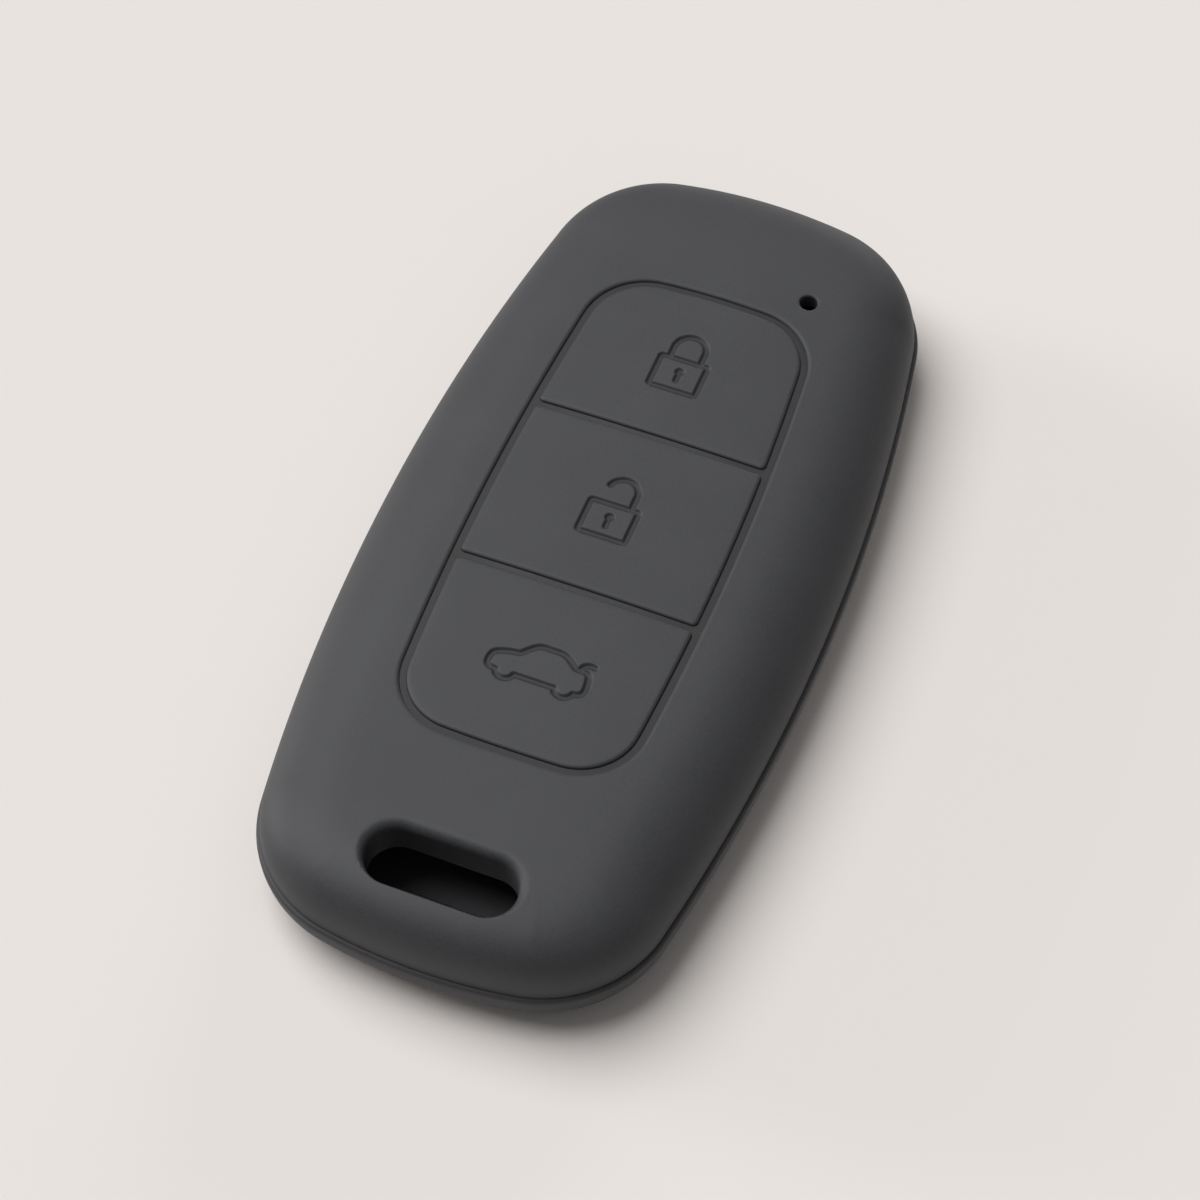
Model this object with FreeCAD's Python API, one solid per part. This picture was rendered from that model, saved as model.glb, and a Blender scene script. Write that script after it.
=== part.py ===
import FreeCAD, Part
import math
import os

# Key fob cover: a front shell with three push pads, pressed onto a rear tray.
# Millimetres. +Y points to the lock pad, +Z up from the table, origin under the middle of the base.

# Plan outline of the front shell at the seam
FRONT_LENGTH = 90.0
FRONT_WIDTH = 44.0
SIDE_RADIUS = 197.0
END_RADIUS = 53.0
CORNER_RADIUS = 12.2

# Height of the seam above the table, and of the front shell above the seam
SEAM_HEIGHT = 5.7
FRONT_DEPTH = 6.2
SEAM_GAP = 0.2

# Front shell: a soft shoulder that falls from the flat top to an upright wall
SHOULDER_WIDTH = 8.5
SHOULDER_POWER = 3.5
FRONT_WALL = 1.8
ROOF_THICKNESS = 1.7
FRONT_CAVITY_RADIUS = 1.5
FRONT_EDGE_RADIUS = 0.2

# Rear tray: stands a little proud of the front shell and carries an upright locating tongue
LEDGE_WIDTH = 0.45
RIM_RADIUS = 0.3
BASE_EDGE_RADIUS = 5.0
FLOOR_THICKNESS = 1.6
REAR_CAVITY_RADIUS = 1.5
TONGUE_THICKNESS = 1.0
TONGUE_HEIGHT = 1.8
TONGUE_CLEARANCE = 0.15
TONGUE_LEAD_IN = 0.3

# Key-ring slot through both shells, whose walls line up on the side of the near end
SLOT_LENGTH = 14.0
SLOT_WIDTH = 5.5
SLOT_TO_END = 6.9
SLOT_LIP_RADIUS = 1.0
SLOT_WALL_DEPTH = 3.1
SLOT_COLLAR_WALL = 1.4
REAR_SLOT_LENGTH = 13.2
REAR_SLOT_WIDTH = 4.7
REAR_SLOT_CHAMFER = 0.8

# Pad window in the roof, measured to the outer edge of the groove
WINDOW_WIDTH = 24.1
WINDOW_TOP_MARGIN = 15.5
WINDOW_BOTTOM_MARGIN = 19.4
WINDOW_SIDE_RADIUS = 333.0
WINDOW_WIDEST_BELOW_MIDDLE = 5.1
WINDOW_TOP_RADIUS = 78.0
WINDOW_BOTTOM_RADIUS = 126.0
WINDOW_CORNER_RADIUS = 6.3
WINDOW_LIP_RADIUS = 0.2

# Groove, and the thin web that makes its floor and joins the pads to the roof
GROOVE_WIDTH = 0.55
GROOVE_DEPTH = 0.35
WEB_FLANGE_WIDTH = 1.8
WEB_FLANGE_THICKNESS = 0.6
WEB_CLEARANCE = 0.05

# Push pads: they share the window equally, apart from what the two end pads give to the middle one
LOCK_PAD_TRIM = 0.43
TRUNK_PAD_TRIM = 0.03
PAD_THICKNESS = 1.9
PAD_CLEARANCE = 0.08
PAD_INNER_CORNER_RADIUS = 0.5
PAD_LIP_RADIUS = 0.2
PLUNGER_DIAMETER = 7.0
PLUNGER_LENGTH = 0.7

# Debossed pictograms
ICON_LINE = 0.42
ICON_DEPTH = 0.25
PADLOCK_WIDTH = 4.55
PADLOCK_BODY_HEIGHT = 3.6
PADLOCK_BODY_DROP = 3.0
SHACKLE_RADIUS = 1.6
SHACKLE_LEG = 1.1
OPEN_SHACKLE_RADIUS = 1.45
OPEN_SHACKLE_LEG = 1.6
OPEN_SHACKLE_SWEEP = 162.0
KEYHOLE_RADIUS = 0.42
KEYHOLE_ABOVE_BASE = 2.25
KEYHOLE_STEM = 1.1
KEYHOLE_STEM_WIDTH = 0.34
CAR_LENGTH = 9.2
CAR_HEIGHT = 3.5
CAR_WHEEL_RADIUS = 0.82
CAR_ABOVE_MIDDLE = 0.2

# Indicator light hole
LIGHT_HOLE_DIAMETER = 2.0
LIGHT_HOLE_X = 8.4
LIGHT_HOLE_ABOVE_WINDOW = 2.7
LIGHT_HOLE_LIP_RADIUS = 0.25

# Spare length by which a cutting solid runs past the face that it opens, the least straight stretch
# that a rounding leaves on its wall, and how close two shapes are when they touch
OVERCUT = 2.0
LEAST_STRAIGHT = 0.1
TOUCH = 1e-4
SHOULDER_POINTS = 9

# Size of the plate that shapes a rounded mouth and of the cutter made from it, in mouth radii
PLATE_REACH = 2.0
FLARE_REACH = 1.5

TOTAL_HEIGHT = SEAM_HEIGHT + FRONT_DEPTH
HALF_LENGTH = FRONT_LENGTH / 2
TOP_Y = HALF_LENGTH - WINDOW_TOP_MARGIN
BOTTOM_Y = WINDOW_BOTTOM_MARGIN - HALF_LENGTH
SLOT_Y = SLOT_TO_END - HALF_LENGTH
REAR_SLOT_Y = SLOT_Y - (SLOT_WIDTH - REAR_SLOT_WIDTH) / 2
ROOF_UNDERSIDE = TOTAL_HEIGHT - ROOF_THICKNESS
REAR_RIM_HEIGHT = SEAM_HEIGHT - SEAM_GAP
TONGUE_OUTER_INSET = FRONT_WALL + TONGUE_CLEARANCE
TONGUE_INNER_INSET = TONGUE_OUTER_INSET + TONGUE_THICKNESS
UP = FreeCAD.Vector(0, 0, 1)

# An outline is a barrel shape: half width, side radius and height of the widest point, then the
# top and bottom edges' place and radius, and one radius for all four corners
SHELL_OUTLINE = (FRONT_WIDTH / 2, SIDE_RADIUS, 0.0, HALF_LENGTH, END_RADIUS,
                 -HALF_LENGTH, END_RADIUS, CORNER_RADIUS)
WINDOW_OUTLINE = (WINDOW_WIDTH / 2, WINDOW_SIDE_RADIUS,
                  (TOP_Y + BOTTOM_Y) / 2 - WINDOW_WIDEST_BELOW_MIDDLE,
                  TOP_Y, WINDOW_TOP_RADIUS, BOTTOM_Y, WINDOW_BOTTOM_RADIUS, WINDOW_CORNER_RADIUS)


def vec(x, y, z=0.0):
    return FreeCAD.Vector(x, y, z)


def mirrored(point):
    return vec(-point.x, point.y, point.z)


def corner_centre(side_centre, side_reach, end_centre, end_reach, upward):
    """Centre of the arc that rounds the +X side into the upper end, or the lower one if upward is -1."""
    line = end_centre - side_centre
    span = line.Length
    along = (side_reach ** 2 - end_reach ** 2 + span ** 2) / (2 * span)
    across = math.sqrt(side_reach ** 2 - along ** 2)
    foot = side_centre + line * (along / span)
    sideways = vec(-line.y, line.x) * (across / span)
    return max((foot + sideways, foot - sideways), key=lambda point: point.y * upward)


def arc(centre, start, end):
    """Arc of under a half circle from start to end about a centre."""
    radius = (start - centre).Length
    middle = centre + ((start - centre) + (end - centre)).normalize() * radius
    return Part.Arc(start, middle, end).toShape()


def barrel_edges(outline, inset):
    """Tangent arcs of an outline, moved inwards by inset, anticlockwise from the widest point on +X."""
    half_width, side_radius, side_y, top_y, top_radius, bottom_y, bottom_radius, corner_radius = outline
    side_centre = vec(half_width - side_radius, side_y)
    top_centre = vec(0, top_y - top_radius)
    bottom_centre = vec(0, bottom_y + bottom_radius)
    widest = side_centre + vec(side_radius - inset, 0)
    right = []
    for end_centre, end_radius, upward in ((top_centre, top_radius, 1), (bottom_centre, bottom_radius, -1)):
        centre = corner_centre(side_centre, side_radius - corner_radius,
                               end_centre, end_radius - corner_radius, upward)
        reach = corner_radius - inset
        on_side = centre + (centre - side_centre).normalize() * reach
        on_end = centre + (centre - end_centre).normalize() * reach
        right.append((centre, on_side, on_end))
    (upper, upper_side, upper_end), (lower, lower_side, lower_end) = right
    left_centre = mirrored(side_centre)
    return [
        arc(side_centre, widest, upper_side),
        arc(upper, upper_side, upper_end),
        arc(top_centre, upper_end, mirrored(upper_end)),
        arc(mirrored(upper), mirrored(upper_end), mirrored(upper_side)),
        arc(left_centre, mirrored(upper_side), mirrored(lower_side)),
        arc(mirrored(lower), mirrored(lower_side), mirrored(lower_end)),
        arc(bottom_centre, mirrored(lower_end), lower_end),
        arc(lower, lower_end, lower_side),
        arc(side_centre, lower_side, widest),
    ]


def prism(wire, low, high):
    """Upright solid of a flat wire, between two heights."""
    face = Part.Face(wire)
    face.translate(vec(0, 0, low - wire.BoundBox.ZMin))
    return face.extrude(UP * (high - low))


def barrel_prism(outline, inset, low, high):
    return prism(Part.Wire(barrel_edges(outline, inset)), low, high)


def box_between(low_corner, high_corner):
    size = high_corner - low_corner
    return Part.makeBox(size.x, size.y, size.z, low_corner)


def slot_wire(length, width, middle_y, grow, height):
    """Round-ended flat outline that lies across the cover, made larger all round by grow."""
    radius = width / 2 + grow
    reach = (length - width) / 2
    right, left = vec(reach, middle_y, height), vec(-reach, middle_y, height)
    rise = vec(0, radius)
    return Part.Wire([
        Part.LineSegment(left - rise, right - rise).toShape(),
        Part.Arc(right - rise, right + vec(radius, 0), right + rise).toShape(),
        Part.LineSegment(right + rise, left + rise).toShape(),
        Part.Arc(left + rise, left - vec(radius, 0), left - rise).toShape(),
    ])


def edge_middle(edge):
    return edge.valueAt((edge.FirstParameter + edge.LastParameter) / 2)


def level_edges(shape, height):
    """Edges that lie flat at a height."""
    found = []
    for edge in shape.Edges:
        ends = [edge_middle(edge)] + [vertex.Point for vertex in edge.Vertexes]
        if all(abs(point.z - height) < TOUCH for point in ends):
            found.append(edge)
    return found


def flared_cutter(section, radius, low, high):
    """Cutter for an opening whose mouth, at its high end, is rounded outwards.

    A section is a function that gives the opening's prism, made larger all round by its first value."""
    straight = section(0.0, low, high + OVERCUT)
    plate = section(PLATE_REACH * radius, high - PLATE_REACH * radius, high).cut(straight)
    rim = [edge for edge in level_edges(plate, high) if straight.distToShape(edge)[0] < TOUCH]
    plate = plate.makeFillet(radius, rim)
    flare = section(FLARE_REACH * radius, high - FLARE_REACH * radius, high + OVERCUT).cut(plate)
    return straight.fuse(flare).removeSplitter()


def swept_block(profile_edges, low, high):
    """Solid whose outer side is a profile carried round the shell's outline.

    The profile is drawn at the outline's widest point and ends at the shoulder's inner edge. It turns
    about the centre of each arc of the outline."""
    section = Part.Face(Part.Wire(profile_edges))
    widest = at_inset(0.0, 0.0)
    block = barrel_prism(SHELL_OUTLINE, SHOULDER_WIDTH, low, high)
    sectors = []
    for edge in barrel_edges(SHELL_OUTLINE, 0.0):
        centre = edge.Curve.Center
        start = edge.valueAt(edge.FirstParameter)
        outward = start - centre
        placed = section.copy()
        placed.rotate(widest, UP, math.degrees(math.atan2(outward.y, outward.x)))
        placed.translate(start - widest)
        sectors.append(placed.revolve(centre, UP, math.degrees(edge.Length / outward.Length)))
    return block.fuse(sectors).removeSplitter()


def at_inset(inset, height):
    """Point of a swept profile: so far in from the seam outline, at a height."""
    return vec(FRONT_WIDTH / 2 - inset, 0, height)


def line(start, end):
    return Part.LineSegment(start, end).toShape()


def quarter(start, centre, end):
    """Quarter round between two points about a centre, in a profile."""
    middle = centre + ((start - centre) + (end - centre)).normalize() * (start - centre).Length
    return Part.Arc(start, middle, end).toShape()


def shoulder_curve(foot_height):
    """Superellipse from the upright wall to the flat top."""
    rise = TOTAL_HEIGHT - foot_height
    points = []
    for index in range(SHOULDER_POINTS + 1):
        turn = math.pi / 2 * index / SHOULDER_POINTS
        inset = SHOULDER_WIDTH * (1 - max(math.cos(turn), 0.0) ** (2 / SHOULDER_POWER))
        height = foot_height + rise * math.sin(turn) ** (2 / SHOULDER_POWER)
        points.append(at_inset(inset, height))
    points[-1] = at_inset(SHOULDER_WIDTH, TOTAL_HEIGHT)
    curve = Part.BSplineCurve()
    curve.interpolate(points, InitialTangent=UP, FinalTangent=vec(-1, 0, 0))
    return curve.toShape()


def front_body():
    """Outside of the front shell, solid."""
    round_start = at_inset(FRONT_EDGE_RADIUS, SEAM_HEIGHT)
    round_centre = at_inset(FRONT_EDGE_RADIUS, SEAM_HEIGHT + FRONT_EDGE_RADIUS)
    wall_foot = at_inset(0.0, SEAM_HEIGHT + FRONT_EDGE_RADIUS)
    top_end = at_inset(SHOULDER_WIDTH, TOTAL_HEIGHT)
    seam_end = at_inset(SHOULDER_WIDTH, SEAM_HEIGHT)
    profile = [
        quarter(round_start, round_centre, wall_foot),
        shoulder_curve(wall_foot.z),
        line(top_end, seam_end),
        line(seam_end, round_start),
    ]
    return swept_block(profile, SEAM_HEIGHT, TOTAL_HEIGHT)


def rear_body():
    """Outside of the rear tray, solid."""
    radius = min(BASE_EDGE_RADIUS, REAR_RIM_HEIGHT - RIM_RADIUS - LEAST_STRAIGHT)
    base_end = at_inset(SHOULDER_WIDTH, 0.0)
    base_round = at_inset(radius - LEDGE_WIDTH, 0.0)
    base_centre = at_inset(radius - LEDGE_WIDTH, radius)
    wall_foot = at_inset(-LEDGE_WIDTH, radius)
    wall_top = at_inset(-LEDGE_WIDTH, REAR_RIM_HEIGHT - RIM_RADIUS)
    rim_centre = at_inset(RIM_RADIUS - LEDGE_WIDTH, REAR_RIM_HEIGHT - RIM_RADIUS)
    rim_round = at_inset(RIM_RADIUS - LEDGE_WIDTH, REAR_RIM_HEIGHT)
    rim_end = at_inset(SHOULDER_WIDTH, REAR_RIM_HEIGHT)
    profile = [
        line(base_end, base_round),
        quarter(base_round, base_centre, wall_foot),
        line(wall_foot, wall_top),
        quarter(wall_top, rim_centre, rim_round),
        line(rim_round, rim_end),
        line(rim_end, base_end),
    ]
    return swept_block(profile, 0.0, REAR_RIM_HEIGHT)


def window_section(grow, low, high):
    return barrel_prism(WINDOW_OUTLINE, -grow, low, high)


def slot_section(grow, low, high):
    return prism(slot_wire(SLOT_LENGTH, SLOT_WIDTH, SLOT_Y, grow, low), low, high)


def rear_slot_wire(grow, height):
    return slot_wire(REAR_SLOT_LENGTH, REAR_SLOT_WIDTH, REAR_SLOT_Y, grow, height)


def light_section(grow, low, high):
    foot = vec(LIGHT_HOLE_X, TOP_Y + LIGHT_HOLE_ABOVE_WINDOW, low)
    return Part.makeCylinder(LIGHT_HOLE_DIAMETER / 2 + grow, high - low, foot)


def make_front_shell():
    """Roof and wall, open below, with the pad window, the slot and its collar, and the light hole."""
    cavity = barrel_prism(SHELL_OUTLINE, FRONT_WALL, SEAM_HEIGHT - OVERCUT, ROOF_UNDERSIDE)
    cavity = cavity.makeFillet(FRONT_CAVITY_RADIUS, level_edges(cavity, ROOF_UNDERSIDE))
    shell = front_body().cut(cavity)
    collar_foot = TOTAL_HEIGHT - SLOT_WALL_DEPTH
    shell = shell.fuse(slot_section(SLOT_COLLAR_WALL, collar_foot, ROOF_UNDERSIDE)).removeSplitter()
    openings = [
        (window_section, WINDOW_LIP_RADIUS),
        (slot_section, SLOT_LIP_RADIUS),
        (light_section, LIGHT_HOLE_LIP_RADIUS),
    ]
    for section, lip_radius in openings:
        shell = shell.cut(flared_cutter(section, lip_radius, SEAM_HEIGHT - OVERCUT, TOTAL_HEIGHT))
    return shell


def make_rear_shell():
    """Tray with a flat base, an upright tongue inside the front wall, and the lower half of the slot."""
    tongue_top = REAR_RIM_HEIGHT + TONGUE_HEIGHT
    tongue = barrel_prism(SHELL_OUTLINE, TONGUE_OUTER_INSET, REAR_RIM_HEIGHT, tongue_top)
    tongue = tongue.makeFillet(TONGUE_LEAD_IN, level_edges(tongue, tongue_top))
    cavity = barrel_prism(SHELL_OUTLINE, TONGUE_INNER_INSET, FLOOR_THICKNESS, tongue_top + OVERCUT)
    cavity = cavity.makeFillet(REAR_CAVITY_RADIUS, level_edges(cavity, FLOOR_THICKNESS))
    tray = rear_body().fuse(tongue).cut(cavity).removeSplitter()
    mouth = rear_slot_wire(REAR_SLOT_CHAMFER + OVERCUT, -OVERCUT)
    chamfer = Part.makeLoft([mouth, rear_slot_wire(0.0, REAR_SLOT_CHAMFER)], True, True)
    return tray.cut(prism(rear_slot_wire(0.0, 0.0), -OVERCUT, REAR_RIM_HEIGHT)).cut(chamfer)


def pad_spans():
    """Lower and upper end of each pad at its middle: lock, unlock, trunk."""
    pads_top = TOP_Y - GROOVE_WIDTH
    pads_bottom = BOTTOM_Y + GROOVE_WIDTH
    third = (pads_top - pads_bottom - 2 * GROOVE_WIDTH) / 3
    lock_low = pads_top - third + LOCK_PAD_TRIM
    trunk_high = pads_bottom + third - TRUNK_PAD_TRIM
    return {
        "lock_button": (lock_low, pads_top),
        "unlock_button": (trunk_high + GROOVE_WIDTH, lock_low - GROOVE_WIDTH),
        "trunk_button": (pads_bottom, trunk_high),
    }


def pad_prism(span, grow, low, high):
    """One pad's plan shape, made larger all round by grow, between two heights."""
    whole = barrel_prism(WINDOW_OUTLINE, GROOVE_WIDTH - grow, low, high)
    pads_bottom, pads_top = BOTTOM_Y + GROOVE_WIDTH, TOP_Y - GROOVE_WIDTH
    cut_low = span[0] - grow if span[0] > pads_bottom else pads_bottom - OVERCUT
    cut_high = span[1] + grow if span[1] < pads_top else pads_top + OVERCUT
    strip = box_between(vec(-WINDOW_WIDTH, cut_low, low), vec(WINDOW_WIDTH, cut_high, high))
    pad = whole.common(strip)
    corners = []
    for edge in pad.Edges:
        upright = edge.BoundBox.ZLength > (high - low) / 2
        at_groove = min(abs(edge.BoundBox.Center.y - end) for end in (cut_low, cut_high)) < TOUCH
        if upright and at_groove:
            corners.append(edge)
    return pad.makeFillet(PAD_INNER_CORNER_RADIUS + grow, corners)


def make_keypad_web():
    """Frame round the pads: its top is the groove's floor, and its flange is bonded under the roof."""
    low = ROOF_UNDERSIDE - WEB_FLANGE_THICKNESS
    high = TOTAL_HEIGHT - GROOVE_DEPTH
    flange = barrel_prism(WINDOW_OUTLINE, -WEB_FLANGE_WIDTH, low, ROOF_UNDERSIDE)
    web = flange.fuse(barrel_prism(WINDOW_OUTLINE, WEB_CLEARANCE, low, high))
    for span in pad_spans().values():
        web = web.cut(pad_prism(span, PAD_CLEARANCE, low - OVERCUT, high + OVERCUT))
    return web.removeSplitter()


def stroke(edges):
    """Band of the icon line's width along a chain of edges, as a cutting solid at the pads' top."""
    path = Part.Wire(edges)
    bottom = TOTAL_HEIGHT - ICON_DEPTH
    if path.isClosed():
        outer = Part.Face(path.makeOffset2D(ICON_LINE / 2))
        inner = Part.Face(path.makeOffset2D(-ICON_LINE / 2))
        band = outer.cut(inner)
    else:
        band = Part.Face(path.makeOffset2D(ICON_LINE / 2))
    band.translate(vec(0, 0, bottom))
    return band.extrude(UP * (ICON_DEPTH + OVERCUT))


def chain(points):
    return [line(start, end) for start, end in zip(points, points[1:])]


def padlock(middle_y, is_open):
    """Padlock line drawing: a box, a shackle and a keyhole. An open one has no left leg."""
    half = PADLOCK_WIDTH / 2
    low = middle_y - PADLOCK_BODY_DROP
    high = low + PADLOCK_BODY_HEIGHT
    body = chain([vec(-half, low), vec(half, low), vec(half, high), vec(-half, high), vec(-half, low)])
    radius = OPEN_SHACKLE_RADIUS if is_open else SHACKLE_RADIUS
    leg = OPEN_SHACKLE_LEG if is_open else SHACKLE_LEG
    sweep = math.radians(OPEN_SHACKLE_SWEEP if is_open else 180.0)
    leg_foot = vec(SHACKLE_RADIUS, high)
    leg_top = leg_foot + vec(0, leg)
    bend = leg_top - vec(radius, 0)
    crown = bend + vec(math.cos(sweep / 2), math.sin(sweep / 2)) * radius
    bend_end = bend + vec(math.cos(sweep), math.sin(sweep)) * radius
    shackle = [line(leg_foot, leg_top), Part.Arc(leg_top, crown, bend_end).toShape()]
    if not is_open:
        shackle.append(line(bend_end, mirrored(leg_foot)))
    eye = vec(0, low + KEYHOLE_ABOVE_BASE, TOTAL_HEIGHT - ICON_DEPTH)
    hole = Part.makeCylinder(KEYHOLE_RADIUS, ICON_DEPTH + OVERCUT, eye)
    stem = box_between(eye + vec(-KEYHOLE_STEM_WIDTH / 2, -KEYHOLE_STEM, 0),
                       eye + vec(KEYHOLE_STEM_WIDTH / 2, 0, ICON_DEPTH + OVERCUT))
    return [stroke(body), stroke(shackle), hole, stem]


def car(middle_y):
    """Side view of a car with its boot lid raised. Points are shares of its length and height."""
    def at(along, up):
        return vec(along * CAR_LENGTH / 2, middle_y + CAR_ABOVE_MIDDLE + up * CAR_HEIGHT / 2)

    sill = -0.96
    wheels = [at(0.60, sill), at(-0.61, sill)]
    reach = vec(CAR_WHEEL_RADIUS, 0)
    drop = vec(0, CAR_WHEEL_RADIUS)
    rear, front = wheels
    edges = [Part.Arc(rear + reach, rear - drop, rear - reach).toShape()]
    edges.append(line(rear - reach, front + reach))
    edges.append(Part.Arc(front + reach, front - drop, front - reach).toShape())
    roof_line = [front - reach, at(-0.93, -0.86), at(-0.99, -0.56), at(-0.95, -0.02), at(-0.74, 0.24),
                 at(-0.46, 0.38), at(-0.18, 1.05), at(0.38, 1.05), at(0.67, 0.52), at(0.93, 0.40),
                 at(1.0, -0.16), at(1.0, -0.68), at(0.92, -0.90), rear + reach]
    lid = [at(0.74, 0.52), at(0.83, 0.88), at(1.0, 1.05)]
    return [stroke(edges + chain(roof_line)), stroke(chain(lid))]


def make_pad(name):
    """One push pad with its pictogram and a round plunger below."""
    span = pad_spans()[name]
    middle_y = sum(span) / 2
    underside = TOTAL_HEIGHT - PAD_THICKNESS
    pad = pad_prism(span, 0.0, underside, TOTAL_HEIGHT)
    pad = pad.makeFillet(PAD_LIP_RADIUS, level_edges(pad, TOTAL_HEIGHT))
    plunger = Part.makeCylinder(PLUNGER_DIAMETER / 2, PLUNGER_LENGTH,
                                vec(0, middle_y, underside - PLUNGER_LENGTH))
    icons = {
        "lock_button": lambda: padlock(middle_y, False),
        "unlock_button": lambda: padlock(middle_y, True),
        "trunk_button": lambda: car(middle_y),
    }
    pad = pad.fuse(plunger)
    for cutter in icons[name]():
        pad = pad.cut(cutter)
    return pad.removeSplitter()


def main():
    os.makedirs("parts", exist_ok=True)
    nodes = {
        "front_shell": make_front_shell(),
        "rear_shell": make_rear_shell(),
        "keypad_web": make_keypad_web(),
    }
    for name in pad_spans():
        nodes[name] = make_pad(name)
    for name, shape in nodes.items():
        box = shape.optimalBoundingBox(False, False)
        size = [round(length, 2) for length in (box.XLength, box.YLength, box.ZLength)]
        print(name, len(shape.Solids), "solid, valid", shape.isValid(), "size", size)
        shape.exportStep(os.path.join("parts", name + ".step"))


main()
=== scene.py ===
"""Key fob cover: two matte silicone shells, a moulded web and three push pads, built round the CAD frame."""

import math

import bmesh
import bpy
import numpy as np
from bpy.props import FloatProperty, FloatVectorProperty, PointerProperty
from bpy.types import Operator, Panel, PropertyGroup
from mathutils import Matrix, Vector


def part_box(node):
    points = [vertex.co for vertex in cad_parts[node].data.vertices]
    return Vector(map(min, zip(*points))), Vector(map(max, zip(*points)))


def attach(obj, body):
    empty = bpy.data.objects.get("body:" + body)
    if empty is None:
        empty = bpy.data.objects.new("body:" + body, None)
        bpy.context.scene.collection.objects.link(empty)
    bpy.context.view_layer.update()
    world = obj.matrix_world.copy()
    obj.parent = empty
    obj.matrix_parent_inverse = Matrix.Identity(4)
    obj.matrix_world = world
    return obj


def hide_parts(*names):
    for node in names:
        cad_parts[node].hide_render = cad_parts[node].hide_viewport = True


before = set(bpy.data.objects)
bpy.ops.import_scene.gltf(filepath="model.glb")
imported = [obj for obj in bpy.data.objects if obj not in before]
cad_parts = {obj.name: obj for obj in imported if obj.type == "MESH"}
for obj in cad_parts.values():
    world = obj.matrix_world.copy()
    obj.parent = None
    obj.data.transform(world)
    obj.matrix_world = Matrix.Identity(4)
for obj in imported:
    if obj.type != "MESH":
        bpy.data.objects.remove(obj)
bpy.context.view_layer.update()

bl_info = {
    "name": "Key Fob Cover",
    "version": (1, 0, 0),
    "blender": (4, 5, 0),
    "location": "3D View > Sidebar > Key Fob Cover",
    "description": "Builds the silicone shells, web and push pads of a key fob cover on its CAD frame",
    "category": "Add Mesh",
}

MM = 0.001
FRONT_LOW, FRONT_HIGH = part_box("front_shell")
REAR_LOW, REAR_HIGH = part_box("rear_shell")
WEB_LOW, WEB_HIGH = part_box("keypad_web")
PAD_BODIES = {"lock_button": "lock_pad", "unlock_button": "unlock_pad", "trunk_button": "trunk_pad"}

# Steps on the eight arcs of a shell outline, anticlockwise: right side, corner, far end, corner, left side,
# corner, near end, corner
SHELL_STEPS = (120, 32, 44, 32, 120, 32, 44, 32)
SHOULDER_STEPS = 48
ROOF_STEPS = 16
ROUND_STEPS = 6
BASE_STEPS = 16
FUNNEL_STEPS = 5
LIP_STEPS = 10
PAD_CORNER_STEPS = 24
PAD_TOP_STEPS = 8

# Steps on a pictogram's arc, on a padlock's corner and between two points of the car's curves
ARC_STEPS = 24
PADLOCK_CORNER_STEPS = 6
CURVE_STEPS = 6

# Depth below the top in millimetres, and the strength of the painted shade there, which darkens recesses in
# the top
PAINTED_SHADE_DEPTHS = ((0.08, 0.0), (0.2, 1.0), (0.5, 1.0), (0.6, 0.0))

# A straight edge of a pad is an arc of this radius, in metres
STRAIGHT = 100.0

# Least squared length of a stroke's run, which keeps a stroke that is a dot from dividing by nothing
DOT = 1e-12

# Two faces that meet at more than this angle keep a sharp edge
SHARP_ANGLE = math.radians(35.0)

# Silicone: specular level, roughness in the grain's lows and highs, share of the grain in the tone, the tones
# that get the two greys, and the painted shade on the web, which darkens the groove's floor to stand for its
# shadow
SPECULAR_LEVEL = 0.5
ROUGHNESS = (0.5, 0.7)
GRAIN_SHARE = 0.7
TONES = (0.3, 0.7)
WEB_PAINTED_SHADE = 0.45

# Floor: half its width in metres, its roughness and its specular level
FLOOR_REACH = 1.5
FLOOR_ROUGHNESS = 0.9
FLOOR_SPECULAR = 0.1

# Camera: width of its sensor in millimetres, and the nearest distance that it shows in metres
SENSOR_WIDTH = 36.0
NEAREST = 0.01

# Lamps: name, azimuth and elevation in degrees, strength, and spread in degrees
LAMPS = (
    ("high_window", -103.0, 61.5, 2.62, 50.0),
    ("side_window", -92.0, 10.0, 1.1, 20.0),
    ("back_window", 180.0, 12.0, 0.6, 24.0),
    ("fill_window", 55.0, 58.0, 0.23, 80.0),
)


def size(name, millimetres, description):
    """Length property whose default is given in millimetres."""
    return FloatProperty(name=name, description=description, default=millimetres * MM, unit="LENGTH")


def angle(name, degrees, description):
    """Angle property whose default is given in degrees."""
    return FloatProperty(name=name, description=description, default=math.radians(degrees), subtype="ANGLE")


def number(name, value, description):
    """Property that is a plain number."""
    return FloatProperty(name=name, description=description, default=value)


def colour(name, values, description):
    """Linear colour property."""
    return FloatVectorProperty(name=name, description=description, default=values, subtype="COLOR",
                               min=0.0, max=1.0)


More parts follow.
